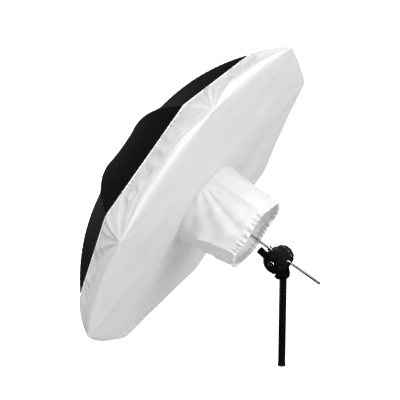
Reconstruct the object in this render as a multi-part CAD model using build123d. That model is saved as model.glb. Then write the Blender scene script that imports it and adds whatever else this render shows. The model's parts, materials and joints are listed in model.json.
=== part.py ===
from build123d import *
import os
from math import asin, atan2, cos, degrees, hypot, radians, sin, sqrt, tan

# A 105 cm photographic umbrella with a front diffuser cover, held by a swivel head on a riser post.
# +Z is up, the umbrella opens towards +X and looks down, and the origin is the foot of the post.
# Sizes are in millimetres.

os.makedirs("parts", exist_ok=True)

# Umbrella
TILT = 30.0                # the open front looks this far below the horizontal
RIBS = 8
RIM_RADIUS = 525.0         # rib tips, open
DOME_RADIUS = 640.0        # each rib bends to this circle
DOME_CENTRE = sqrt(DOME_RADIUS**2 - RIM_RADIUS**2)   # in front of the rim plane, on the shaft's axis
DOME_BACK = DOME_CENTRE - DOME_RADIUS                # middle of the dome
CLOTH = 1.0                # thickness that stands for the nylon
FACETS = 7                 # flats along a panel, from hub to rim
FIRST_ANGLE = 1.9          # where a panel starts on its circle, in degrees from the hub
SEAM_GAP = 0.3             # half the gap between neighbouring panels
HALF_PANEL = 180.0 / RIBS
SLOPE = tan(radians(HALF_PANEL))
REACH = 700.0              # beyond the rim, for cutting panels

# Front diffuser
HEM_RADIUS = 454.0         # where its elastic hem grips the back of the dome
SLEEVE_BASE_R = 132.0
SLEEVE_MOUTH_R = 116.0
SLEEVE_START = 9.0         # along the axis, from the rim plane
SLEEVE_END = 192.0
SLEEVE_RISE = 13.0         # the mouth sits this far above the shaft's axis
SLEEVE_SIDES = 12

# Shaft, hub and runner
SHAFT_R = 4.0
SHAFT_BORE_R = 3.2
SHAFT_BACK = DOME_BACK - 10.4
SHAFT_TAIL = 418.0
SHAFT_GROOVE = 331.0       # ring that marks how far the shaft goes into a holder
HUB_PIVOT_R = 13.0
RUNNER_PIVOT_R = 15.0
RUNNER_PIVOT_X = -150.0
PIN_R = 0.8
EYE_R = 0.85

# Ribs and stretchers
ROD_R = 1.8
ROD_ARC = DOME_RADIUS - 6.6           # rods lie just inside the cloth
ROD_TIP_R = 514.0
JOINT_R = 222.0                       # where a stretcher carries its rib
JOINT_X = -223.0
STRETCHER_SIDE = 5.2                  # a stretcher runs beside its rib

# Swivel head and riser post
PIVOT = (-20.0, 0.0, 318.0)
SHAFT_OFFSET = 18.0                   # shaft's axis above the tilt axis
RIM_SETBACK = 280.0                   # tilt axis to rim plane, along the shaft
DRUM_R = 36.0
DRUM_RIM_R = 38.0
DRUM_Y = (-18.0, 20.0)
BOLT_R = 5.0
BORE_R = 5.05
BUSH_R = 6.95
POST_R = 11.0
POST_TOP = 267.0
SOCKET_R = 8.1                        # takes a 16 mm stand spigot
SOCKET_DEPTH = 60.0
SPIGOT_R = 8.0
SPIGOT_LENGTH = 45.0
STAND_SCREW_Z = 20.0
PAN_SCREW_Z = 240.0
LOCK_X = 7.0                          # screw that holds the shaft, ahead of the tilt axis
LOCK_R = 3.0

TILTED = Rot(0, TILT, 0)
HEAD = Pos(*PIVOT) * TILTED
UMBRELLA = HEAD * Pos(-RIM_SETBACK, 0, SHAFT_OFFSET)


def cylinder_between(radius, start, end):
    """A rod along X from start to end."""
    return Pos((start + end) / 2, 0, 0) * Rot(0, 90, 0) * Cylinder(radius, end - start)


def disc_y(radius, low, high, x=0, z=0):
    """A disc or pin along Y, from low to high."""
    return Pos(x, (low + high) / 2, z) * Rot(90, 0, 0) * Cylinder(radius, high - low)


def box_between(low, high):
    middle = [(a + b) / 2 for a, b in zip(low, high)]
    return Pos(*middle) * Box(*[b - a for a, b in zip(low, high)])


def plate(points, low, high):
    """A flat outline of (along the shaft, out from it), given thickness across the rib's plane."""
    outline = make_face(Polyline(*points, close=True))
    return Rot(90, 0, 0) * Pos(0, 0, low) * extrude(outline, high - low)


def at_rib(number, shape):
    """Turns a shape made for the top rib to another rib, and puts it on the umbrella."""
    return UMBRELLA * Rot(360 / RIBS * number, 0, 0) * shape


def dome_x(radius, arc=DOME_RADIUS):
    """Where a circle of this arc, at this distance from the shaft's axis, lies along that axis."""
    return DOME_CENTRE - sqrt(arc**2 - radius**2)


def dome_line(arc, first_angle, last_angle, steps):
    """Points along a rib's circle, narrowed to the middle of a panel."""
    narrow = cos(radians(HALF_PANEL))
    angles = [first_angle + (last_angle - first_angle) * k / steps for k in range(steps + 1)]
    return [
        (DOME_CENTRE - arc * cos(radians(a)), arc * sin(radians(a)) * narrow) for a in angles
    ]


# ---------------------------------------------------------------- riser post

def post_tube():
    tube = Pos(0, 0, POST_TOP / 2) * Cylinder(POST_R, POST_TOP)
    tube -= Pos(0, 0, POST_TOP / 2) * Cylinder(6.5, POST_TOP)
    tube -= Pos(0, 0, SOCKET_DEPTH / 2) * Cylinder(SOCKET_R, SOCKET_DEPTH)
    tube -= Pos(0, 0, POST_TOP - 24) * Cylinder(SPIGOT_R + 0.05, 48)
    for height in (STAND_SCREW_Z, PAN_SCREW_Z):
        tube -= disc_y(3.05, 5, 15, z=height)
    return tube


def post_foot_ring():
    ring = Pos(0, 0, 3.5) * Cylinder(POST_R + 0.8, 7)
    return ring - Pos(0, 0, 3.5) * Cylinder(POST_R + 0.02, 7)


def set_screw(height):
    screw = disc_y(3.0, 8.5, 13.0, z=height)
    screw = chamfer(screw.edges().sort_by(Axis.Y)[-1], 0.4)
    socket = extrude(RegularPolygon(1.5, 6), 2.5)
    return screw - Pos(0, 13.01, height) * Rot(90, 0, 0) * socket


# ---------------------------------------------------------------- swivel head

def yoke():
    """Fork that carries the tilt bolt, with a spigot that turns in the post."""
    px, _, pz = PIVOT
    foot = Pos(0, POST_TOP + 5) * Rectangle(26, 10)
    side = make_hull((Pos(px, pz) * Circle(19)).edges() + foot.edges())
    front = Polyline((-19, POST_TOP), (22, POST_TOP), (33, 300), (33, 345), (-42, 345), (-42, 300),
                     close=True)
    fork = Rot(90, 0, 0) * extrude(side, 60, both=True)
    fork &= extrude(Plane.YZ * make_face(front), 60, both=True)
    fork -= Pos(px, 0, pz) * disc_y(39.5, -32.0, 22.5)
    fork += disc_y(17, -45, -42, px, pz)
    fork -= disc_y(BORE_R, -60, 60, px, pz)
    fork += Pos(0, 0, POST_TOP - SPIGOT_LENGTH / 2) * Cylinder(SPIGOT_R, SPIGOT_LENGTH)
    groove = Pos(0, 0, PAN_SCREW_Z) * (Cylinder(9, 8) - Cylinder(7.2, 8))
    return fork - groove


def tilt_bolt():
    bolt = disc_y(BOLT_R, -45, 52) + disc_y(8.5, -52, -45)
    bolt = chamfer(bolt.edges().sort_by(Axis.Y)[0], 0.8)
    return Pos(*PIVOT) * (bolt - Pos(0, -46.5, 0) * Rot(90, 0, 0) * extrude(RegularPolygon(4.6, 6), 6))


def tilt_washers():
    """Friction washers between the moving parts on the bolt."""
    places = [(-21.9, -18.1, 12.0), (20.1, 22.4, 30.0), (33.1, 34.2, 13.0)]
    rings = [disc_y(r, low, high) - disc_y(BORE_R, low, high) for low, high, r in places]
    return Pos(*PIVOT) * Compound(rings)


def tilt_lever():
    """Clamp lever beside the drum, with a flat paddle for the thumb."""
    hub = disc_y(15, -31.6, -22.3)
    arm = Pos(-29, -27, 0) * Box(58, 9, 20)
    arm = fillet(arm.edges().filter_by(Axis.Y).group_by(Axis.X)[0], 3)
    lever = hub + arm - disc_y(BORE_R, -33, -22)
    return Pos(*PIVOT) * Rot(0, 38, 0) * lever


def tilt_head():
    """Drum that the umbrella's shaft passes through, above the bolt."""
    drum = disc_y(DRUM_R, *DRUM_Y) + disc_y(DRUM_RIM_R, 12, DRUM_Y[1])
    drum = chamfer(drum.edges().filter_by(GeomType.CIRCLE).sort_by(Axis.Y)[-1], 1.5)
    drum -= disc_y(30, DRUM_Y[0] - 1, DRUM_Y[0] + 1.2) - disc_y(14, DRUM_Y[0] - 1, DRUM_Y[0] + 1.2)
    ridges = [
        Pos(0, DRUM_Y[0] + 0.6, offset) * Box(2 * sqrt(30.5**2 - offset**2), 1.2, 1.6)
        for offset in range(-26, 27, 4)
    ]
    drum += [ridge - disc_y(14, -20, -10) for ridge in ridges]
    drum -= disc_y(BORE_R, -30, 30)
    drum -= Pos(0, 0, SHAFT_OFFSET) * cylinder_between(BUSH_R + 0.05, -50, 50)
    return HEAD * (drum - disc_y(LOCK_R + 0.1, -30, 0, LOCK_X, SHAFT_OFFSET))


def shaft_lock_screw():
    """Screw that presses the split bush on to the umbrella's shaft."""
    screw = disc_y(LOCK_R, -19, -7.3) + disc_y(4.4, -21.6, -18.05)
    screw -= Pos(0, -19.6, 0) * Rot(90, 0, 0) * extrude(RegularPolygon(2.4, 6), 3)
    return HEAD * Pos(LOCK_X, 0, SHAFT_OFFSET) * screw


def shaft_bush():
    """Split bush that turns in the drum and lets the shaft slide."""
    bush = cylinder_between(BUSH_R, -40, 35.4) + cylinder_between(8.2, 35.4, 37.8)
    bush -= cylinder_between(SHAFT_R + 0.05, -42, 42)
    bush -= cylinder_between(BUSH_R + 1, -38.1, -36.9) - cylinder_between(6.2, -38.1, -36.9)
    bush -= Pos(-20, 0, -6) * Box(40, 1.2, 8)
    return HEAD * Pos(0, 0, SHAFT_OFFSET) * bush


def bush_clip():
    ring = cylinder_between(9.5, -38.0, -37.0) - cylinder_between(6.3, -39, -36)
    ring -= Pos(-37.5, 0, 8) * Box(2, 6, 8)
    return HEAD * Pos(0, 0, SHAFT_OFFSET) * ring


def tension_knob():
    """Lobed hand knob on the far end of the bolt."""
    knob = disc_y(34, 34.5, 58)
    knob = chamfer(knob.edges().filter_by(GeomType.CIRCLE), 2)
    for k in range(12):
        knob -= Rot(0, 30 * k, 0) * disc_y(5.5, 33, 60, 37.5)
    knob -= disc_y(9.05, 33, 50) + disc_y(BORE_R, 33, 53)
    knob -= disc_y(20, 55.5, 59)
    return Pos(*PIVOT) * knob


def knob_insert():
    insert = disc_y(9.0, 34.6, 49.5) - disc_y(BORE_R, 34, 50)
    return Pos(*PIVOT) * insert


def knob_cap():
    return Pos(*PIVOT) * disc_y(19.8, 55.6, 58.6)


# ---------------------------------------------------------------- shaft, hub and runner

def shaft():
    tube = cylinder_between(SHAFT_R, SHAFT_BACK, SHAFT_GROOVE)
    tube += cylinder_between(SHAFT_R - 0.3, SHAFT_GROOVE, SHAFT_GROOVE + 1.5)
    tube += cylinder_between(SHAFT_R, SHAFT_GROOVE + 1.5, SHAFT_TAIL)
    return UMBRELLA * (tube - cylinder_between(SHAFT_BORE_R, SHAFT_BACK, SHAFT_TAIL))


def shaft_end_plug():
    plug = cylinder_between(3.15, SHAFT_TAIL - 14, SHAFT_TAIL + 0.02)
    cap = cylinder_between(SHAFT_R - 0.2, SHAFT_TAIL + 0.02, SHAFT_TAIL + 3)
    cap = chamfer(cap.edges().filter_by(GeomType.CIRCLE).sort_by(Axis.X)[-1], 1)
    return UMBRELLA * (plug + cap)


def notched_ring(radius, low, high, slot_width, slot_floor, slot_side, pin_at):
    """A ring on the shaft with a slot for each rib or stretcher, and a hole for each pin."""
    ring = cylinder_between(radius, low, high) - cylinder_between(SHAFT_R + 0.05, low - 1, high + 1)
    x, r = pin_at
    for k in range(RIBS):
        slot = box_between((low - 1, slot_side - slot_width / 2, slot_floor),
                           (high + 1, slot_side + slot_width / 2, radius + 5))
        hole = disc_y(PIN_R + 0.01, slot_side - 3.6, slot_side + 3.6, x, r)
        ring -= Rot(360 / RIBS * k, 0, 0) * (slot + hole)
    return ring


def pivot_pins(slot_side, pin_at):
    x, r = pin_at
    pins = [Rot(360 / RIBS * k, 0, 0) * disc_y(PIN_R, slot_side - 3.5, slot_side + 3.5, x, r)
            for k in range(RIBS)]
    return UMBRELLA * Compound(pins)


HUB_PIVOT_X = dome_x(HUB_PIVOT_R, ROD_ARC)


def hub():
    return UMBRELLA * notched_ring(17, HUB_PIVOT_X - 3.6, HUB_PIVOT_X + 5, 2.2, 9, 0,
                                   (HUB_PIVOT_X, HUB_PIVOT_R))


def apex_cap():
    """Cap that clamps the cloth's centre behind the hub."""
    cap = cylinder_between(22, -4.0, -1.8) + cylinder_between(8, -16.4, -1.8)
    cap = fillet(cap.edges().filter_by(GeomType.CIRCLE).sort_by(Axis.X)[0], 3)
    return UMBRELLA * Pos(DOME_BACK, 0, 0) * (cap - cylinder_between(SHAFT_R + 0.05, -11.4, 1))


def runner():
    """Slider that spreads the stretchers."""
    x = RUNNER_PIVOT_X
    flange = notched_ring(20, x - 4, x + 6, 3.6, 11, STRETCHER_SIDE, (x, RUNNER_PIVOT_R))
    sleeve = cylinder_between(9, x + 6, x + 52) - cylinder_between(SHAFT_R + 0.05, x, x + 60)
    sleeve -= disc_y(2.05, -12, -2, x + 30)
    return UMBRELLA * (flange + sleeve)


def runner_grip():
    x = RUNNER_PIVOT_X
    grip = cylinder_between(11.5, x + 37, x + 51) - cylinder_between(9.02, x + 36, x + 52)
    return UMBRELLA * chamfer(grip.edges().filter_by(GeomType.CIRCLE).sort_by(Axis.X)[-1], 1)


def runner_plunger():
    """Pull knob whose tip holds the runner at the shaft's detent."""
    pin = disc_y(2.0, -12, -4.3) + disc_y(5.0, -18, -12)
    return UMBRELLA * Pos(RUNNER_PIVOT_X + 30, 0, 0) * pin


# ---------------------------------------------------------------- ribs and stretchers

def rib():
    """Sprung rod with a flat eye at the hub and a clip for its stretcher."""
    start = (dome_x(21, ROD_ARC), 21)
    end = (dome_x(ROD_TIP_R, ROD_ARC), ROD_TIP_R)
    middle_r = ROD_ARC * sin(radians(degrees(asin(ROD_TIP_R / ROD_ARC)) * 0.52))
    middle = (dome_x(middle_r, ROD_ARC), middle_r)
    path = Rot(90, 0, 0) * ThreePointArc(start, middle, end)
    rod = sweep(Plane(path @ 0, z_dir=path % 0) * Circle(ROD_R), path)
    blade = Rot(90, 0, 0) * Pos(0, 0, -0.9) * extrude(
        make_hull(((Pos(HUB_PIVOT_X, HUB_PIVOT_R) * Circle(2.6)).edges()
                   + (Pos(start[0] - 0.4, 24) * Circle(1.8)).edges())), 1.8)
    clip = plate([(JOINT_X - 8, JOINT_R - 5), (JOINT_X - 4.6, JOINT_R + 5),
                  (JOINT_X + 2.8, JOINT_R + 2.8), (JOINT_X + 2.8, JOINT_R - 2.8)], -3, 3)
    return rod + blade + clip - disc_y(EYE_R, -5, 5, HUB_PIVOT_X, HUB_PIVOT_R)


def rib_tip():
    """Ball-ended cap that the cloth hooks on to."""
    mouth, rod_end, end = [
        Vector(dome_x(r, ROD_ARC), 0, r) for r in (ROD_TIP_R - 8, ROD_TIP_R, ROD_TIP_R + 1.5)
    ]
    along = Plane(mouth, z_dir=end - mouth)
    length = (end - mouth).length
    depth = (rod_end - mouth).length + 0.8
    tip = along * Pos(0, 0, length / 2) * Cylinder(2.7, length) + Pos(end) * Sphere(2.7)
    return tip - along * Pos(0, 0, depth / 2) * Cylinder(ROD_R + 0.15, depth)


def stretcher():
    """Rod from the runner, where it has an eye, to a rivet beside its rib's clip."""
    length = hypot(JOINT_R - RUNNER_PIVOT_R, JOINT_X - RUNNER_PIVOT_X)
    turn = degrees(atan2(JOINT_R - RUNNER_PIVOT_R, JOINT_X - RUNNER_PIVOT_X))
    bar = cylinder_between(1.5, 1.6, length - 1.6)
    bar += disc_y(3.0, -1.5, 1.5) + disc_y(3.0, -1.5, 1.5, length) + disc_y(1.6, 1.5, 2.3, length)
    bar -= disc_y(EYE_R, -2, 2)
    return Pos(RUNNER_PIVOT_X, STRETCHER_SIDE, RUNNER_PIVOT_R) * Rot(0, -turn, 0) * bar


# ---------------------------------------------------------------- cloth

def seen_along_shaft(corners):
    """A prism along the shaft, whose outline is (out from it, across)."""
    outline = make_face(Polyline(*corners, close=True))
    return extrude(Plane((400, 0, 0), x_dir=(0, 0, 1), z_dir=(-1, 0, 0)) * outline, 800)


def flats(outer, inner):
    """Sheet of cloth as flat strips, from its section: the outer and inner line, point by point."""
    strips = []
    for k in range(len(outer) - 1):
        section = Polyline(outer[k], outer[k + 1], inner[k + 1], inner[k], close=True)
        strips.append(Rot(90, 0, 0) * extrude(make_face(section), 300, both=True))
    return strips


def canopy_panel():
    """Cloth from half a panel on one side of a rib to half a panel on the other."""
    last = degrees(asin((RIM_RADIUS - 2) / DOME_RADIUS))
    strips = flats(dome_line(DOME_RADIUS, FIRST_ANGLE, last, FACETS),
                   dome_line(DOME_RADIUS - CLOTH, FIRST_ANGLE, last, FACETS))
    halves = []
    for side in (1, -1):
        corners = [(SEAM_GAP / SLOPE, side * SEAM_GAP), (REACH, side * SEAM_GAP),
                   (REACH, side * REACH * SLOPE)]
        wedge = seen_along_shaft(corners)
        halves += [Rot(side * HALF_PANEL, 0, 0) * (strip & wedge) for strip in strips]
    return Compound(halves)


def diffuser_cover():
    """One panel to each gap between ribs: a flap behind the rim, and the flat front face."""
    first = degrees(asin(HEM_RADIUS / DOME_RADIUS))
    last = degrees(asin((RIM_RADIUS + 1) / DOME_RADIUS))
    rim_r = (RIM_RADIUS + 2.5) * cos(radians(HALF_PANEL))
    face_r = SLEEVE_BASE_R + 1
    outer = dome_line(DOME_RADIUS + 2.4, first, last, 2) + [(5.0, rim_r), (9.0, face_r)]
    inner = dome_line(DOME_RADIUS + 2.4 - CLOTH, first, last, 2)
    inner += [(5.0 - CLOTH, rim_r - 1.4), (9.0 - CLOTH, face_r)]
    corners = [(1.0, 0), (REACH, (REACH - 1) * SLOPE), (REACH, -(REACH - 1) * SLOPE)]
    wedge = seen_along_shaft(corners)
    strips = [strip & wedge for strip in flats(outer, inner)]
    panels = [Rot(360 / RIBS * (k + 0.5), 0, 0) * strip for k in range(RIBS) for strip in strips]
    return UMBRELLA * Compound(panels)


def ring_of_sides(radius, sides, x, rise):
    """A regular outline round the shaft, with a corner at the top."""
    place = Plane((x, 0, rise), x_dir=(0, 1, 0), z_dir=(1, 0, 0))
    return place * RegularPolygon(radius, sides)


def sleeve():
    """Tube of cloth at the middle of the front face, a little higher at its mouth."""
    step = 360 / SLEEVE_SIDES
    sides = []
    for k in range(SLEEVE_SIDES):
        ends = []
        for x, radius, rise in ((SLEEVE_START + 0.3, SLEEVE_BASE_R, 0),
                                (SLEEVE_END, SLEEVE_MOUTH_R, SLEEVE_RISE)):
            corners = [(radius - inset, step * (k + turn))
                       for inset, turn in ((0, 0), (0, 1), (CLOTH, 1), (CLOTH, 0))]
            points = [(x, r * cos(radians(a)), rise + r * sin(radians(a))) for r, a in corners]
            ends.append(make_face(Polyline(*points, close=True)))
        sides.append(loft(ends, ruled=True))
    return UMBRELLA * Compound(sides)


def cord_loop(radius, sides, x, rise, thickness):
    """A closed elastic cord, straight between the corners of its outline."""
    outer = ring_of_sides(radius + thickness / 2, sides, x - thickness / 2, rise)
    inner = ring_of_sides(radius - thickness / 2, sides, x - thickness / 2, rise)
    return UMBRELLA * extrude(outer - inner, thickness)


def hem_elastic():
    radius = HEM_RADIUS - 4
    return cord_loop(radius + 1.5, RIBS, dome_x(radius, DOME_RADIUS + 6), 0, 2.4)


def sleeve_elastic():
    return cord_loop(SLEEVE_MOUTH_R - 3.5, SLEEVE_SIDES, SLEEVE_END - 5, SLEEVE_RISE, 2.4)


# ---------------------------------------------------------------- write the parts

ONE_OF_EACH = {
    "post_tube": post_tube(),
    "post_foot_ring": post_foot_ring(),
    "stand_set_screw": set_screw(STAND_SCREW_Z),
    "pan_set_screw": set_screw(PAN_SCREW_Z),
    "yoke": yoke(),
    "tilt_bolt": tilt_bolt(),
    "tilt_washers": tilt_washers(),
    "tilt_lever": tilt_lever(),
    "tilt_head": tilt_head(),
    "shaft_lock_screw": shaft_lock_screw(),
    "shaft_bush": shaft_bush(),
    "bush_clip": bush_clip(),
    "tension_knob": tension_knob(),
    "knob_insert": knob_insert(),
    "knob_cap": knob_cap(),
    "shaft": shaft(),
    "shaft_end_plug": shaft_end_plug(),
    "hub": hub(),
    "hub_pins": pivot_pins(0, (HUB_PIVOT_X, HUB_PIVOT_R)),
    "apex_cap": apex_cap(),
    "runner": runner(),
    "runner_pins": pivot_pins(STRETCHER_SIDE, (RUNNER_PIVOT_X, RUNNER_PIVOT_R)),
    "runner_grip": runner_grip(),
    "runner_plunger": runner_plunger(),
    "diffuser_cover": diffuser_cover(),
    "sleeve": sleeve(),
    "sleeve_elastic": sleeve_elastic(),
    "hem_elastic": hem_elastic(),
}
for name, shape in ONE_OF_EACH.items():
    export_step(shape, f"parts/{name}.step")

ONE_TO_A_RIB = {
    "rib": rib(),
    "rib_tip": rib_tip(),
    "stretcher": stretcher(),
    "canopy_panel": canopy_panel(),
}
for name, shape in ONE_TO_A_RIB.items():
    for number in range(RIBS):
        export_step(at_rib(number, shape), f"parts/{name}_{number + 1}.step")
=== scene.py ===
import json
from math import asin, cos, pi, radians, sin, sqrt

import bpy
import numpy as np
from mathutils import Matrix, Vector


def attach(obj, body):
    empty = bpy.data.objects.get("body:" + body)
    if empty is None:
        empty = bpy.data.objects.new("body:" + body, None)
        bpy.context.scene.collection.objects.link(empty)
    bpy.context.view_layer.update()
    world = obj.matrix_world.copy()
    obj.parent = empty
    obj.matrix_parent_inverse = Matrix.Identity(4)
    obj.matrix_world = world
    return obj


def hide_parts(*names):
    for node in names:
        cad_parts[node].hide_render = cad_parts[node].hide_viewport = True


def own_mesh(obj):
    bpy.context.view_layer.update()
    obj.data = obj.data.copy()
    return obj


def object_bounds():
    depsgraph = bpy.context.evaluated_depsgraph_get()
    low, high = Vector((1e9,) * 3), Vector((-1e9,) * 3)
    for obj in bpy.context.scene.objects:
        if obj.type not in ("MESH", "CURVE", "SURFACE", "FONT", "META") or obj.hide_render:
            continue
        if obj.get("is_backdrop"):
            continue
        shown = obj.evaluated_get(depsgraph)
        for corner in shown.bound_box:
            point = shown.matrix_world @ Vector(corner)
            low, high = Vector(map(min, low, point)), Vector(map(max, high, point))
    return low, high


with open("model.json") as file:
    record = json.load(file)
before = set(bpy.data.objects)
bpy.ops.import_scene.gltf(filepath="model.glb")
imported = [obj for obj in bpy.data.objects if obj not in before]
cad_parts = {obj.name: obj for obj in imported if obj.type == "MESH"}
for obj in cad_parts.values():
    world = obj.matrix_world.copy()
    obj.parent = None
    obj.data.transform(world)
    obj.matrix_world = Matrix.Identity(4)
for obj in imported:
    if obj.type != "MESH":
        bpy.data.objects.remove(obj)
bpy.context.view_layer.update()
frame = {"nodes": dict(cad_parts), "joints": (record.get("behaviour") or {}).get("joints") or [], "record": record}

# ------------------------------------------------------------------ where the umbrella stands
# The umbrella is drawn about its own shaft. AXIS runs along the shaft towards the open front, TOP points
# from the shaft to rib 1, SIDE completes the three, and RIM is the middle of the circle of rib tips.

joints = {joint["name"]: joint for joint in frame["joints"]}
mounts = {mount["name"]: mount for mount in frame["record"]["mounts"]}
RIBS = 8
TAIL_FROM_RIM = 0.375      # the shaft_tail mount, measured along the shaft from the rim plane
AXIS = np.array(joints["fold"]["axis"], float)
RIM = np.array(mounts["shaft_tail"]["pos_m"], float) - TAIL_FROM_RIM * AXIS
HINGES = np.array([joints[f"rib_{k + 1}_hinge"]["pos_m"] for k in range(RIBS)], float)
TOP = (HINGES[0] - HINGES[4]) / np.linalg.norm(HINGES[0] - HINGES[4])
SIDE = np.cross(TOP, AXIS)


def on_umbrella(along, out, angle):
    """Points in the row frame from distance along the shaft ahead of the rim plane, distance out from the
    shaft, and angle round it from rib 1 over the near side."""
    along, out, angle = np.broadcast_arrays(along, out, angle)
    outward = np.cos(angle)[..., None] * TOP - np.sin(angle)[..., None] * SIDE
    return RIM + along[..., None] * AXIS + out[..., None] * outward


# ------------------------------------------------------------------ studio: camera, backdrop, floor, lights
# The product hangs in a white studio. Camera looks slightly down on it through a long lens, one large
# softbox stands above the near side and one in front, and white walls fill in all round.

VIEW_AZIMUTH, VIEW_ELEVATION = radians(23.25), radians(12.0)
VIEW_DISTANCE = 3.107
LENS_MM = 94.9
SHIFT_LEFT, SHIFT_UP = 0.0076, 0.0036    # how far the camera stands off the line through RIM
back = Vector((sin(VIEW_AZIMUTH) * cos(VIEW_ELEVATION), -cos(VIEW_AZIMUTH) * cos(VIEW_ELEVATION),
               sin(VIEW_ELEVATION)))
right = Vector((cos(VIEW_AZIMUTH), sin(VIEW_AZIMUTH), 0))
up = back.cross(right)
camera = bpy.data.objects.new("camera", bpy.data.cameras.new("camera"))
camera.data.lens = LENS_MM
camera.data.clip_end = 80
camera.location = Vector(RIM) + VIEW_DISTANCE * back - SHIFT_LEFT * right + SHIFT_UP * up
camera.rotation_mode = "QUATERNION"
camera.rotation_quaternion = (-back).to_track_quat("-Z", "Y")
bpy.context.scene.collection.objects.link(camera)
bpy.context.scene.camera = camera
bpy.context.scene.view_settings.view_transform = "Standard"

world = bpy.data.worlds.new("white_walls")
world.use_nodes = True
world.node_tree.nodes["Background"].inputs["Color"].default_value = (1.0, 0.995, 0.985, 1)
world.node_tree.nodes["Background"].inputs["Strength"].default_value = 0.84
world.cycles_visibility.glossy = False
bpy.context.scene.world = world


def softbox(name, direction, distance, width, power):
    """A square area light at a distance in that direction from the umbrella, facing it."""
    lamp = bpy.data.objects.new(name, bpy.data.lights.new(name, "AREA"))
    lamp.data.size = width
    lamp.data.energy = power
    toward = Vector(direction).normalized()
    lamp.location = Vector(RIM) + distance * toward
    lamp.rotation_mode = "QUATERNION"
    lamp.rotation_quaternion = (-toward).to_track_quat("-Z", "Y")
    bpy.context.scene.collection.objects.link(lamp)


softbox("key_softbox", (0.12, -0.55, 0.76), distance=3.5, width=1.8, power=54)
softbox("front_softbox", (0.85, -0.30, 0.35), distance=3.2, width=1.5, power=64)


def backdrop(name, mesh):
    """A white surface that the camera sees and that throws no light or shadow on the product."""
    paper = bpy.data.objects.new(name, mesh)
    paper.data.materials.append(white_paper)
    paper.visible_diffuse = paper.visible_glossy = paper.visible_shadow = False
    paper.visible_transmission = False
    bpy.context.scene.collection.objects.link(paper)
    paper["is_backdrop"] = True


white_paper = bpy.data.materials.new("seamless_white_paper")
white_paper.use_nodes = True
paper_shader = white_paper.node_tree.nodes["Principled BSDF"]
paper_shader.inputs["Base Color"].default_value = (1, 1, 1, 1)
paper_shader.inputs["Roughness"].default_value = 0.9
paper_shader.inputs["Emission Color"].default_value = (1, 1, 1, 1)
paper_shader.inputs["Emission Strength"].default_value = 1.0
FLOOR_Z, STUDIO_R = -1.2, 30.0
STUDIO_SIDES, STUDIO_ROWS = 64, 33
turn = np.linspace(0, 2 * pi, STUDIO_SIDES, endpoint=False)
floor_mesh = bpy.data.meshes.new("floor")
floor_mesh.from_pydata(
    np.stack([STUDIO_R * np.cos(turn), STUDIO_R * np.sin(turn), np.full_like(turn, FLOOR_Z)], 1).tolist(), [],
    [list(range(STUDIO_SIDES))])
backdrop("floor", floor_mesh)
rise = np.linspace(0, pi, STUDIO_ROWS)[:, None]
wall = STUDIO_R * np.stack([np.sin(rise) * np.cos(turn), np.sin(rise) * np.sin(turn),
                            np.cos(rise) * np.ones_like(turn)], -1)
wall_index = np.arange(STUDIO_ROWS * STUDIO_SIDES).reshape(STUDIO_ROWS, STUDIO_SIDES)
wall_next = np.roll(wall_index, -1, axis=1)
wall_mesh = bpy.data.meshes.new("wall")
wall_mesh.from_pydata(
    wall.reshape(-1, 3).tolist(), [],
    np.stack([wall_index[:-1], wall_index[1:], wall_next[1:], wall_next[:-1]], -1).reshape(-1, 4).tolist())
backdrop("wall", wall_mesh)

# ------------------------------------------------------------------ black canopy, white inside
# Eight gores of satin-black coated nylon, white on the inside, sewn together over the ribs and pulled tight
# between the hub cap and the rib tips. Each piece here is the cloth over one rib, to the middle of the gores.

RIM_RADIUS = 0.525
DOME_RADIUS = 0.640                      # each rib bends to this circle
DOME_CENTRE = sqrt(DOME_RADIUS**2 - RIM_RADIUS**2)
CLOTH_THICKNESS = 0.0006
GORE = 2 * pi / RIBS


def linear(code):
    """An sRGB hex colour as linear red, green, blue and alpha."""
    parts = [int(code[k:k + 2], 16) / 255 for k in (1, 3, 5)]
    return [c / 12.92 if c <= 0.04045 else ((c + 0.055) / 1.055) ** 2.4 for c in parts] + [1.0]


def add_node(material, kind, inputs=None, **settings):
    """Adds a shader node with its settings, and with its inputs given as values or as links."""
    made = material.node_tree.nodes.new("ShaderNode" + kind)
    for name, value in settings.items():
        setattr(made, name, value)
    for name, value in (inputs or {}).items():
        if isinstance(value, bpy.types.NodeSocket):
            material.node_tree.links.new(value, made.inputs[name])
        else:
            made.inputs[name].default_value = value
    return made


def new_material(name, **uniform):
    """A Principled material whose uniform values are set on the shader's own sockets."""
    material = bpy.data.materials.new(name)
    material.use_nodes = True
    shader = material.node_tree.nodes["Principled BSDF"]
    for socket, value in uniform.items():
        shader.inputs[socket.replace("_", " ")].default_value = value
    return material, shader


def set_mapping(material, size_mm, coordinates="Object", turned=(0, 0, 0), stretch=(1, 1, 1)):
    """Coordinates counted in repeats of a size in millimetres, turned and stretched for a grain."""
    source = add_node(material, "TexCoord").outputs[coordinates]
    per_metre = 1000 / size_mm
    mapping = add_node(material, "Mapping", {"Vector": source, "Rotation": turned,
                                             "Scale": [per_metre * s for s in stretch]})
    return mapping.outputs["Vector"]


def colour_between(material, shader, factor, low, high):
    """Colours the surface between two hex colours as a pattern goes from 0 to 1. A Mix node has sockets for
    each kind of value: 0, 6 and 7 are the factor and the two colours, and output 2 is the mixed colour."""
    mix = add_node(material, "Mix", {0: factor, 6: linear(low), 7: linear(high)}, data_type="RGBA")
    material.node_tree.links.new(mix.outputs[2], shader.inputs["Base Color"])


THREAD_MM, CREASE_MM, PATCH_MM = 1.4, 16, 110


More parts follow.
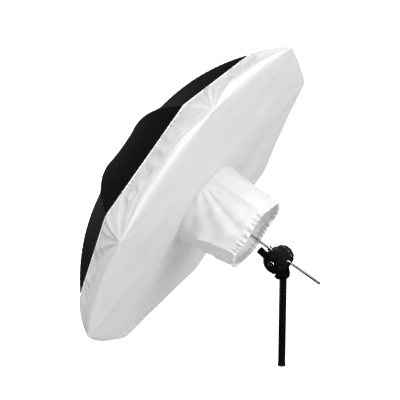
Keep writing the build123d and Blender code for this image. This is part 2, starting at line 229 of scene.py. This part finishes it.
def taffeta(name, low, high, **uniform):
    """Plain-woven nylon: two sets of fine threads crossing, and faint handling creases.
    Real threads are 0.2 mm apart. They are drawn 1.4 mm apart, so that they show close up."""
    material, shader = new_material(name, **uniform)
    flat = set_mapping(material, THREAD_MM, "UV")
    warp = add_node(material, "TexWave", {"Vector": flat, "Scale": 0.5}, bands_direction="X")
    weft = add_node(material, "TexWave", {"Vector": flat, "Scale": 0.5}, bands_direction="Y")
    weave = add_node(material, "Math", {0: warp.outputs["Fac"], 1: weft.outputs["Fac"]}, operation="MULTIPLY")
    crease = add_node(material, "TexNoise", {"Vector": set_mapping(material, CREASE_MM), "Detail": 4.0,
                                             "Roughness": 0.55, "Distortion": 0.6})
    patch = add_node(material, "TexNoise", {"Vector": set_mapping(material, PATCH_MM), "Detail": 2.0})
    colour_between(material, shader, patch.outputs["Fac"], low, high)
    fine = add_node(material, "Bump", {"Height": weave.outputs[0], "Strength": 0.12, "Distance": 0.0002})
    soft = add_node(material, "Bump", {"Height": crease.outputs["Fac"], "Strength": 0.25, "Distance": 0.002,
                                       "Normal": fine.outputs["Normal"]})
    material.node_tree.links.new(soft.outputs["Normal"], shader.inputs["Normal"])
    return material


def cloth_mesh(name, points, flat, materials, closed=False, flip=False):
    """Puts a grid of points, rows by columns, into a mesh of four-sided faces. flat is the same grid laid out
    on a table, in metres, and becomes its UV map; a closed grid joins its last column to its first."""
    rows, columns = points.shape[:2]
    index = np.arange(rows * columns).reshape(rows, columns)
    grid = np.concatenate([index, index[:, :1]], 1) if closed else index
    corners = [(slice(None, -1), slice(None, -1)), (slice(None, -1), slice(1, None)),
               (slice(1, None), slice(1, None)), (slice(1, None), slice(None, -1))]
    if flip:
        corners = corners[::-1]
    faces = np.stack([grid[c] for c in corners], -1).reshape(-1, 4)
    mesh = bpy.data.meshes.new(name)
    mesh.from_pydata(points.reshape(-1, 3).tolist(), [], faces.tolist())
    uv = np.stack([flat[c] for c in corners], -2).reshape(-1, 2)
    mesh.uv_layers.new(name="cloth").data.foreach_set("uv", uv.astype(np.float32).ravel())
    mesh.polygons.foreach_set("use_smooth", np.ones(len(faces), bool))
    for material in materials:
        mesh.materials.append(material)
    made = bpy.data.objects.new(name, mesh)
    bpy.context.scene.collection.objects.link(made)
    return made


def thicken(piece, thickness, inner_material=0):
    """Gives a sheet its thickness on the inner side, with its own material there if it has one."""
    solidify = piece.modifiers.new("thickness", "SOLIDIFY")
    solidify.thickness = thickness
    solidify.offset = -1
    solidify.material_offset = inner_material


def gore_chord(across):
    """Straight across the gores either side of a rib. across is 0 on the rib and -1 or 1 in the middle of a
    gore; gives the share of the rib's radius, and the angle round the shaft from the rib."""
    share = np.abs(across) / 2
    inward, sideways = 1 - share + share * cos(GORE), share * sin(GORE)
    return np.hypot(inward, sideways), np.sign(across) * np.arctan2(sideways, inward)


def smooth_step(value, low, high):
    """0 below low, 1 above high, and 3 t squared less 2 t cubed between."""
    t = np.clip((value - low) / (high - low), 0, 1)
    return t * t * (3 - 2 * t)


def surface_normals(points):
    """Unit normals of a grid of points, outward, from the cross product of its column and row differences."""
    normal = np.cross(np.gradient(points, axis=1), np.gradient(points, axis=0))
    return normal / np.linalg.norm(normal, axis=-1, keepdims=True)


FIRST_ANGLE = radians(1.9)               # where the cloth starts under the hub cap, on the rib's circle
EDGE_INSET = 0.002                       # the cloth ends this far short of the rib tips
LAST_ANGLE = asin((RIM_RADIUS - EDGE_INSET) / DOME_RADIUS)
SAG = 0.9                                # share of the cloth's pull that goes across the gore
SCALLOP = 0.022                          # the free edge curves in this far between rib tips
SEAM_WIDTH, SEAM_HEIGHT = 0.0045, 0.0007
PUCKER_LENGTH, PUCKER_HEIGHT, PUCKER_FADE = 0.017, 0.0005, 0.012
RIDGE_ROUNDING = 0.03                    # share of half a gore over which the ridge at a rib is rounded
FREE_EDGE = (0.44, 0.50)                 # radii between which the cloth passes into its free edge
EDGE_SAG_LOSS, EDGE_DROP = 0.45, 0.0035  # the free edge sags less, and lies lower, under the cover
CANOPY_ROWS, CANOPY_COLUMNS = 84, 97

black_nylon = taffeta("black_coated_nylon", "#0A0A0B", "#0E0E10", Roughness=0.46, Specular_IOR_Level=0.2,
                      Sheen_Weight=0.04, Sheen_Roughness=0.4)
white_nylon = taffeta("white_nylon_lining", "#ECECEA", "#F4F4F2", Roughness=0.5)

across = np.linspace(-1, 1, CANOPY_COLUMNS)[None, :]
scallop = SCALLOP / DOME_RADIUS * (1 - (1 - np.abs(across)) ** 2)
arc = FIRST_ANGLE + (LAST_ANGLE - scallop - FIRST_ANGLE) * np.linspace(0, 1, CANOPY_ROWS)[:, None]
rounded = np.sqrt(across**2 + RIDGE_ROUNDING**2) - RIDGE_ROUNDING
for k in range(RIBS):
    share, turned = gore_chord(across)
    radius = DOME_RADIUS * np.sin(arc)
    width = 2 * radius * sin(GORE / 2)
    free_edge = smooth_step(radius, *FREE_EDGE)
    sag = SAG * width**2 / (8 * DOME_RADIUS) * (1 - (1 - rounded) ** 2) * (1 - EDGE_SAG_LOSS * free_edge)
    rib_distance = radius * np.abs(np.sin(turned))
    seam = SEAM_HEIGHT * np.exp(-((rib_distance / SEAM_WIDTH) ** 6))
    pucker = PUCKER_HEIGHT * np.exp(-rib_distance / PUCKER_FADE) * np.sin(
        2 * pi * DOME_RADIUS * arc / PUCKER_LENGTH + 2 * np.sin(9 * arc + k))
    lift = (seam + pucker) * (1 - free_edge) - sag - EDGE_DROP * free_edge
    along = DOME_CENTRE - (DOME_RADIUS + lift) * np.cos(arc)
    out = radius * share + lift * np.sin(arc) * cos(GORE / 2) / np.cos(np.abs(turned) - GORE / 2)
    points = on_umbrella(along, out, turned + GORE * k)
    flat = np.stack(np.broadcast_arrays(radius * np.sin(turned), DOME_RADIUS * arc), -1)
    name = f"canopy_cloth_{k + 1}"
    piece = cloth_mesh(name, points, flat, [black_nylon, white_nylon])
    thicken(piece, CLOTH_THICKNESS, 1)
    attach(piece, f"rib_{k + 1}")
    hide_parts(f"canopy_panel_{k + 1}")
    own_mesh(piece)

# ------------------------------------------------------------------ white diffuser cover
# A shaped cover of thin white diffusion nylon. Its hem grips the back of the dome, the cloth turns over the
# rib tips, sharply at each tip and softly between them, and runs flat across the front to the sleeve.

HEM_RADIUS = 0.454
COVER_LIFT = 0.0024                      # how far it lies off the canopy at the ribs
COVER_CORNER = 0.5305                    # radius of the cover at a rib tip
FRONT_AT_RIM, FRONT_AT_SLEEVE = 0.003, 0.009
SLEEVE_BASE_R = 0.132
FLAP_ROWS, BEND_ROWS, FRONT_ROWS = 30, 16, 62
TIP_BEND, GORE_BEND = 0.006, 0.055       # length that the turn over the rim takes, at a tip and between
FULLNESS, DROOP = 0.45, 0.010            # how near to a circle the outline is, and how far it hangs below
GORE_BACK = 0.012                        # how far the edge lies back in the middle of a gore
GIVE_FORWARD, GIVE_OUT = 0.18, 0.375     # shares of a wide turn's length that keep the outline's size
FACE_TUCK = 0.005                        # the face's inner edge runs on under the sleeve
FLAP_AT_RIB, FLAP_FALL = 0.0058, 0.0078  # how far the flap stands out at a rib, and its fall to mid-gore
CREASE_REACH, CREASE_HEIGHT = 0.065, (0.0022, 0.0056)
HEM_GATHER, HEM_GATHER_FADE = 0.0016, 0.016
FLAP_RIPPLE, FLAP_RIPPLE_SIZE = 0.0052, 0.044
FACE_WAVE, FACE_WAVE_SIZE, FACE_HOLLOW = 0.0022, 0.26, 0.003
TENSION_HEIGHT, TENSION_REACH, TENSION_RAYS = 0.0015, 0.11, 5
COLUMNS = 141
SPARE_DROP = 0.00005                     # a piece's spare column passes this far under its neighbour
hem_angle = asin(HEM_RADIUS / DOME_RADIUS)

diffuser_nylon = taffeta("white_diffusion_nylon", "#E9EAEA", "#F1F1F0", Roughness=0.55)
through = add_node(diffuser_nylon, "BsdfTranslucent", {"Color": linear("#F4F4F2")})
shader_mix = add_node(diffuser_nylon, "MixShader", {"Fac": 0.4})
nylon_nodes = diffuser_nylon.node_tree
nylon_nodes.links.new(nylon_nodes.nodes["Principled BSDF"].outputs[0], shader_mix.inputs[1])
nylon_nodes.links.new(through.outputs[0], shader_mix.inputs[2])
nylon_nodes.links.new(shader_mix.outputs[0], nylon_nodes.nodes["Material Output"].inputs["Surface"])
draw = np.random.default_rng(7)


def fan(distance, angle, reach, creases):
    """Creases that fan out from a corner: each is (angle, half width, height), in degrees and metres, and
    grows from the corner to its full height at the reach, then fades."""
    grown = distance / reach * np.exp(1 - distance / reach)
    total = 0
    for middle, half_width, height in creases:
        total = total + height * np.exp(-(((angle - radians(middle)) / radians(half_width)) ** 2))
    return grown * total


def ripples(u, v, waves, size, seed):
    """A smooth irregular height from -1 to 1: a sum of waves in random directions of about one size."""
    pick = np.random.default_rng(seed)
    total = 0
    for _ in range(waves):
        heading, phase = pick.uniform(0, 2 * pi, 2)
        number = 2 * pi / (size * pick.uniform(0.7, 1.5))
        total = total + np.sin(number * (u * cos(heading) + v * sin(heading)) + phase)
    return total / waves**0.5


def hem_gathers(globe):
    """Pleats along the elastic, from -1 to 1: a sine with 25 waves to a gore, whose phase wanders."""
    return np.sin(200 * globe + 2.2 * np.sin(15 * globe) + 1.3)


across = np.linspace(-1 - 2 / (COLUMNS - 1), 1 + 2 / (COLUMNS - 1), COLUMNS + 2)[None, :]
share, turned = gore_chord(across)
between = smooth_step(np.abs(across), 0.0, 0.75)
extra_bend = (GORE_BEND - TIP_BEND) * between
v_flap = np.linspace(0, 1, FLAP_ROWS, endpoint=False)[:, None, None]
v_bend = np.linspace(0, 1, BEND_ROWS, endpoint=False)[:, None, None]
v_front = np.linspace(0, 1, FRONT_ROWS)[:, None, None]
on_flap = np.concatenate([4 * v_flap[..., 0] * (1 - v_flap[..., 0]), np.zeros((BEND_ROWS + FRONT_ROWS, 1))])
on_front = np.concatenate([np.zeros((FLAP_ROWS + BEND_ROWS, 1)), v_front[..., 0]])
hem = np.stack(np.broadcast_arrays(
    DOME_CENTRE - (DOME_RADIUS + COVER_LIFT) * cos(hem_angle) + 0 * across,
    (DOME_RADIUS + COVER_LIFT) * sin(hem_angle) * share), -1)
inner = np.stack([FRONT_AT_SLEEVE + 0 * across, SLEEVE_BASE_R - FACE_TUCK + 0 * across], -1)
bend = (TIP_BEND + extra_bend)[..., None]


def length_of(vectors):
    """Length of each vector along the last axis, which is kept."""
    return np.linalg.norm(vectors, axis=-1, keepdims=True)


for k in range(RIBS):
    globe = turned + GORE * k
    below = np.clip(-(np.cos(globe) * TOP[2] - np.sin(globe) * SIDE[2]), 0, 1)
    corner = np.stack([FRONT_AT_RIM - GORE_BACK * between + GIVE_FORWARD * extra_bend,
                       COVER_CORNER * (share + (1 - share) * FULLNESS) + DROOP * below * between
                       + GIVE_OUT * extra_bend], -1)
    to_hem = (hem - corner) / length_of(hem - corner)
    to_inner = (inner - corner) / length_of(inner - corner)
    bend_start, bend_end = corner + bend * to_hem, corner + bend * to_inner
    flap = hem + v_flap * (bend_start - hem)
    turn_over = (1 - v_bend) ** 2 * bend_start + 2 * v_bend * (1 - v_bend) * corner + v_bend**2 * bend_end
    front = bend_end + v_front * (inner - bend_end)
    section = np.concatenate([flap, turn_over, front])
    laid = np.cumsum(np.linalg.norm(np.diff(section, axis=0, prepend=section[:1]), axis=-1), axis=0)
    from_fold = laid[FLAP_ROWS + BEND_ROWS // 2] - laid
    sideways = section[..., 1] * np.sin(turned)
    distance, angle = np.hypot(sideways, from_fold), np.arctan2(sideways, from_fold)
    own = 1 - smooth_step(np.abs(across), 0.55, 0.97)

    lift = (FLAP_AT_RIB - FLAP_FALL * np.abs(across)) * on_flap
    creases = []
    for middle in range(-80, 81, 10):
        creases.append((middle + draw.uniform(-3, 3), draw.uniform(2.5, 4.5),
                        draw.uniform(*CREASE_HEIGHT) * draw.choice([-0.6, 1])))
    lift = lift + fan(distance, angle, CREASE_REACH, creases) * own * smooth_step(from_fold, -0.004, 0.015)
    lift += HEM_GATHER * hem_gathers(globe) * np.exp(-laid / HEM_GATHER_FADE)
    points = on_umbrella(section[..., 0], section[..., 1], globe)
    normal = surface_normals(points)
    crumple = ripples(points @ SIDE, points @ TOP, waves=9, size=FLAP_RIPPLE_SIZE, seed=11)
    lift += FLAP_RIPPLE * crumple * on_flap * between
    soft = ripples(points @ SIDE, points @ TOP, waves=6, size=FACE_WAVE_SIZE, seed=5)
    lift += (FACE_WAVE * soft - FACE_HOLLOW) * np.sin(pi * on_front)
    tension = np.exp(-distance / TENSION_REACH) * np.cos(TENSION_RAYS * (pi - np.abs(angle)))
    lift += TENSION_HEIGHT * tension * smooth_step(on_front, 0.0, 0.08)
    spare = np.abs(across) > 1.001       # the column past the middle of the gore
    points = points + (lift - SPARE_DROP * spare)[..., None] * normal
    # sideways is square to the rib, and the cloth runs off that by half the turn from rib to rib
    flat = np.stack([sideways / cos(GORE / 2), laid], -1)
    piece = cloth_mesh(f"diffuser_cloth_{k + 1}", points, flat, [diffuser_nylon])
    thicken(piece, CLOTH_THICKNESS)
    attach(piece, f"rib_{k + 1}")
    if k == 0:
        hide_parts("diffuser_cover")
    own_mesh(piece)

# ------------------------------------------------------------------ elastic hem of the cover
# A round elastic cord sewn into a narrow white casing along the cover's back edge. It pulls straight from
# rib to rib across the black cloth and gathers the nylon into small pleats.

CASING_R, CASING_ROUND = 0.0024, 0.015
CASING_COLUMNS, CASING_SIDES = 121, 12
CASING_SWELL = 0.14                      # share by which it swells at each pleat
elastic_white, elastic_shader = new_material("white_knitted_elastic", Roughness=0.7)
knit = add_node(elastic_white, "TexNoise", {"Vector": set_mapping(elastic_white, 3.0), "Detail": 2.0})
colour_between(elastic_white, elastic_shader, knit.outputs["Fac"], "#F4F4F3", "#FFFFFF")
knit_bump = add_node(elastic_white, "Bump", {"Height": knit.outputs["Fac"], "Strength": 0.3,
                                             "Distance": 0.0004})
elastic_white.node_tree.links.new(knit_bump.outputs["Normal"], elastic_shader.inputs["Normal"])


def tube(path, radius, sides):
    """Points of a tube round a path: rows along the path, columns round it."""
    along = np.gradient(path, axis=0)
    along /= np.linalg.norm(along, axis=-1, keepdims=True)
    across_path = np.cross(along, AXIS)
    across_path /= np.linalg.norm(across_path, axis=-1, keepdims=True)
    other = np.cross(across_path, along)
    around = np.linspace(0, 2 * pi, sides, endpoint=False)[None, :, None]
    radius = np.broadcast_to(radius, len(path))[:, None, None]
    return path[:, None] + radius * (np.cos(around) * across_path[:, None] + np.sin(around) * other[:, None])


across = np.linspace(-1, 1, CASING_COLUMNS)
share, turned = gore_chord(across)
for k in range(RIBS):
    globe = turned + GORE * k
    swell = CASING_R * (1 + CASING_SWELL * hem_gathers(globe))
    lifted = DOME_RADIUS + COVER_LIFT + CLOTH_THICKNESS
    path = on_umbrella(DOME_CENTRE - lifted * cos(hem_angle), lifted * sin(hem_angle) * share, globe)
    points = tube(path, swell, CASING_SIDES)
    flat = np.stack(np.broadcast_arrays(
        HEM_RADIUS * globe[:, None], np.linspace(0, CASING_ROUND, CASING_SIDES + 1)[None, :]), -1)
    piece = cloth_mesh(f"hem_casing_{k + 1}", points, flat, [elastic_white], closed=True)
    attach(piece, f"rib_{k + 1}")
    if k == 0:
        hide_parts("hem_elastic")
    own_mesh(piece)

# ------------------------------------------------------------------ sleeve for the flash head
# A tube of the same white nylon sewn into the middle of the front. One seam runs along its upper near side,
# the cloth drapes in folds from the seam's foot, and elastic gathers its mouth.

SLEEVE_START, SLEEVE_END = 0.0085, 0.190
SLEEVE_MOUTH_R, SLEEVE_RISE = 0.116, 0.013
SEAM_AT, LOWER_FOLD_AT = radians(37), radians(118)
SLEEVE_ROWS, SLEEVE_COLUMNS = 110, 420
SLEEVE_LENGTH = SLEEVE_END - SLEEVE_START
NEAR_FOLDS_AT, FAR_FOLDS_AT = radians(47), radians(-55)
NEAR_REACH, FAR_REACH = 0.095, 0.065
FOLDS_BEHIND = 0.14                      # the folds fan out from this share of the length behind the base
MOUTH_GATHER, BASE_GATHER, DRAPE_HEIGHT = 0.0022, 0.0008, 0.0014
DRAPE_R = 0.125                          # radius at which distances round the sleeve are counted
RIDGE_HEIGHT, RIDGE_WIDTH = 0.0050, 0.0060
FOLD_HEIGHT, FOLD_WIDTH = 0.0100, 0.018
MOUTH_PULL = 0.0030                      # how far the elastic pulls the mouth in

s = np.linspace(0, 1, SLEEVE_ROWS)[:, None]
theta = np.linspace(0, 2 * pi, SLEEVE_COLUMNS, endpoint=False)[None, :]


def angle_from(theta, middle):
    """Signed angle from the middle, between -pi and pi."""
    return (theta - middle + pi) % (2 * pi) - pi


CORNERS_AT = np.radians([-62, 37, 112, 215])
FLAT_DEPTH = [0.08, 0.38, 0.0, 0.15]     # how far it goes flat from each to the next: 0 is round
sleeve_radius = SLEEVE_BASE_R + (SLEEVE_MOUTH_R - SLEEVE_BASE_R) * s
flattened = np.zeros_like(theta)
for low, high, depth in zip(CORNERS_AT, np.append(CORNERS_AT[1:], CORNERS_AT[0] + 2 * pi), FLAT_DEPTH):
    middle, half = (low + high) / 2, (high - low) / 2
    off = angle_from(theta, middle)
    inside = np.abs(off) <= half
    flattened = np.where(inside, depth * (cos(half) / np.cos(np.clip(off, -half, half)) - 1), flattened)
hang = smooth_step(s, 0.0, 0.3) * (1 - 0.45 * smooth_step(s, 0.7, 1.0))
out = sleeve_radius * (1 + hang * flattened)
p = angle_from(theta, NEAR_FOLDS_AT) * sleeve_radius
q = (s + FOLDS_BEHIND) * SLEEVE_LENGTH
near_folds = fan(np.hypot(p, q), np.arctan2(p, q), NEAR_REACH, [
    (20, 4.5, -0.0028), (31, 6.0, 0.0016), (44, 6.0, -0.0018), (56, 6.0, 0.0016), (67, 5.0, -0.0022),
    (-28, 5.0, -0.0016)])
p_far = -angle_from(theta, FAR_FOLDS_AT) * sleeve_radius
far_folds = fan(np.hypot(p_far, q), np.arctan2(p_far, q), FAR_REACH, [
    (18, 4.0, -0.0040), (33, 4.5, 0.0024), (47, 5.0, -0.0032), (64, 5.0, -0.0028), (77, 4.0, 0.0020)])
gather_theta = theta + 0.09 * np.sin(3 * theta + 0.7) + 0.05 * np.sin(7 * theta)
gathers = np.sin(46 * gather_theta) + 0.5 * np.sin(29 * gather_theta + 1.1)
near_mouth = smooth_step(s, 0.84, 1.0)
base_gathers = np.sin(38 * gather_theta + 0.4) * np.exp(-s / 0.05)
drape = ripples(theta * DRAPE_R, s * SLEEVE_LENGTH, waves=10, size=0.045, seed=21)
drape = drape * smooth_step(s, 0.0, 0.15) * (1 + np.cos(theta - pi / 2)) / 2
drape = drape * (np.abs(angle_from(theta, 0)) < pi)      # none on the one column opposite rib 1
seam_ridge = RIDGE_HEIGHT * np.exp(-np.abs(angle_from(theta, SEAM_AT)) * sleeve_radius / RIDGE_WIDTH)
from_lower_fold = np.abs(angle_from(theta, LOWER_FOLD_AT - 0.18 * s))
lower_fold = FOLD_HEIGHT * np.exp(-from_lower_fold * sleeve_radius / FOLD_WIDTH)
out = out + near_folds + far_folds + MOUTH_GATHER * gathers * near_mouth + BASE_GATHER * base_gathers
out = out + DRAPE_HEIGHT * drape + seam_ridge + lower_fold * smooth_step(s, 0.1, 0.4)
out = out - MOUTH_PULL * near_mouth
along = SLEEVE_START + SLEEVE_LENGTH * s + 0.0022 * np.sin(5 * theta + 0.6) * s**4
points = on_umbrella(along, out, theta) + (SLEEVE_RISE * s)[..., None] * TOP
flat = np.stack(np.broadcast_arrays(
    np.linspace(0, 2 * pi, SLEEVE_COLUMNS + 1)[None, :] * SLEEVE_BASE_R, s * SLEEVE_LENGTH), -1)
sleeve_cloth = cloth_mesh("sleeve_cloth", points, flat, [diffuser_nylon], closed=True)
thicken(sleeve_cloth, CLOTH_THICKNESS)
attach(sleeve_cloth, "umbrella")
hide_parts("sleeve")

# The mouth's casing: cloth rolled over a round elastic and sewn down, pulled into close puckers.
BAND_R, BAND_WIDTH, BAND_ROUND, BAND_SIDES = 0.0030, 0.013, 0.04, 20
BAND_IN, BAND_FORWARD = 0.0010, 0.0025   # where the band lies on the sleeve's last row
around = np.linspace(0, 2 * pi, BAND_SIDES, endpoint=False)[:, None]
pulled = 0.0016 * np.sin(46 * gather_theta) + 0.0011 * np.sin(71 * gather_theta + 0.5)
band_out = out[-1:] - BAND_IN + BAND_R * np.cos(around) + pulled * (0.4 + 0.6 * np.cos(around / 2) ** 2)
band_along = along[-1:] - BAND_WIDTH / 2 + BAND_WIDTH / 2 * np.sin(around) + BAND_FORWARD
band = on_umbrella(band_along, band_out, theta) + SLEEVE_RISE * TOP
flat = np.stack(np.broadcast_arrays(np.linspace(0, BAND_ROUND, BAND_SIDES + 1)[None, :],
                                    theta.T * SLEEVE_MOUTH_R), -1)
band_piece = cloth_mesh("sleeve_mouth_casing",
                        np.concatenate([np.swapaxes(band, 0, 1), np.swapaxes(band, 0, 1)[:1]]),
                        np.concatenate([flat, flat[:1]]), [diffuser_nylon], closed=True, flip=True)
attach(band_piece, "umbrella")
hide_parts("sleeve_elastic")

# ------------------------------------------------------------------ steel shaft, ribs, stretchers and screws
# The shaft is a drawn steel tube, bright plated, with fine lines along it. Ribs and stretchers are tempered
# rod, darker than the shaft. Screws, pins and the split bush are plated steel with a higher shine.


def give(material, *names):
    """Puts one finish on these CAD nodes."""
    for name in names:
        node = frame["nodes"][name]
        node.data.materials.clear()
        node.data.materials.append(material)


def metal(name, low, high, roughness, line_mm, stretch=(1, 1, 1), turned=(0, 0, 0)):
    """Metal whose colour and shine vary with drawn or turned lines. Real lines are about 0.05 mm apart; they
    are drawn wider so that they show."""
    material, shader = new_material(name, Metallic=1.0, Roughness=roughness)
    along_lines = set_mapping(material, line_mm, "Object", turned, stretch)
    lines = add_node(material, "TexNoise", {"Vector": along_lines, "Detail": 3.0})
    colour_between(material, shader, lines.outputs["Fac"], low, high)
    spread = add_node(material, "MapRange", {"Value": lines.outputs["Fac"], "To Min": roughness * 0.75,
                                             "To Max": roughness * 1.3})
    material.node_tree.links.new(spread.outputs["Result"], shader.inputs["Roughness"])
    scratch = add_node(material, "Bump", {"Height": lines.outputs["Fac"], "Strength": 0.08,
                                          "Distance": 0.0001})
    material.node_tree.links.new(scratch.outputs["Normal"], shader.inputs["Normal"])
    return material


shaft_steel = metal("drawn_steel", "#A9AAAC", "#CFD0D2", 0.24, 0.8, (0.02, 1, 1), (0, -radians(30), 0))
give(shaft_steel, "shaft")
rib_steel = metal("tempered_rod", "#7D7E80", "#9B9C9E", 0.35, 1.5)
give(rib_steel, *[f"rib_{k + 1}" for k in range(RIBS)], *[f"stretcher_{k + 1}" for k in range(RIBS)])
plated_steel = metal("bright_plated_steel", "#BDBEC0", "#DDDEE0", 0.2, 2.0)
give(plated_steel, "stand_set_screw", "pan_set_screw", "tilt_bolt", "shaft_lock_screw", "shaft_bush",
     "bush_clip", "hub_pins", "runner_pins")
turned_brass = metal("turned_brass", "#B08D4A", "#CFAE66", 0.25, 1.0)
give(turned_brass, "knob_insert")

# ------------------------------------------------------------------ black swivel head, post and plastics
# The post is steel tube and the fork and lever are cast metal, all with a satin black powder coat, which
# has a faint orange-peel. Drum, knob and small fittings are moulded glass-filled nylon with a fine grain.


RUBBED_MM = 22


def coating(name, low, high, roughness, grain_mm, depth, **uniform):
    """An opaque black finish with a fine pebbled grain and a slight variation of shade and shine."""
    material, shader = new_material(name, Roughness=roughness, **uniform)
    grain = add_node(material, "TexNoise", {"Vector": set_mapping(material, grain_mm), "Detail": 2.0})
    rubbed = add_node(material, "TexNoise", {"Vector": set_mapping(material, RUBBED_MM), "Detail": 5.0,
                                             "Roughness": 0.65})
    colour_between(material, shader, rubbed.outputs["Fac"], low, high)
    spread = add_node(material, "MapRange", {"Value": rubbed.outputs["Fac"], "To Min": roughness * 0.8,
                                             "To Max": roughness * 1.25})
    material.node_tree.links.new(spread.outputs["Result"], shader.inputs["Roughness"])
    pebbles = add_node(material, "Bump", {"Height": grain.outputs["Fac"], "Strength": 0.35,
                                          "Distance": depth})
    material.node_tree.links.new(pebbles.outputs["Normal"], shader.inputs["Normal"])
    return material


powder_coat = coating("satin_black_powder_coat", "#060607", "#0B0B0C", 0.30, 1.6, 0.0002,
                      Specular_IOR_Level=0.4)
give(powder_coat, "post_tube", "yoke", "tilt_lever")
grained_nylon = coating("moulded_black_nylon", "#0C0C0C", "#161617", 0.42, 0.7, 0.0002,
                        Specular_IOR_Level=0.9)
give(grained_nylon, "post_foot_ring", "tilt_head", "tension_knob", "knob_cap", "shaft_end_plug", "hub",
     "apex_cap", "runner", "runner_plunger", *[f"rib_tip_{k + 1}" for k in range(RIBS)])
grip_rubber = coating("matt_black_rubber", "#151515", "#1E1E1E", 0.8, 1.2, 0.0003, Specular_IOR_Level=0.3)
give(grip_rubber, "runner_grip")
washer_grey = coating("grey_acetal", "#5E5E60", "#6C6C6E", 0.5, 1.0, 0.0001)
give(washer_grey, "tilt_washers")

# ------------------------------------------------------------------ bounds of all that is drawn, the backdrop left out
low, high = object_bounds()
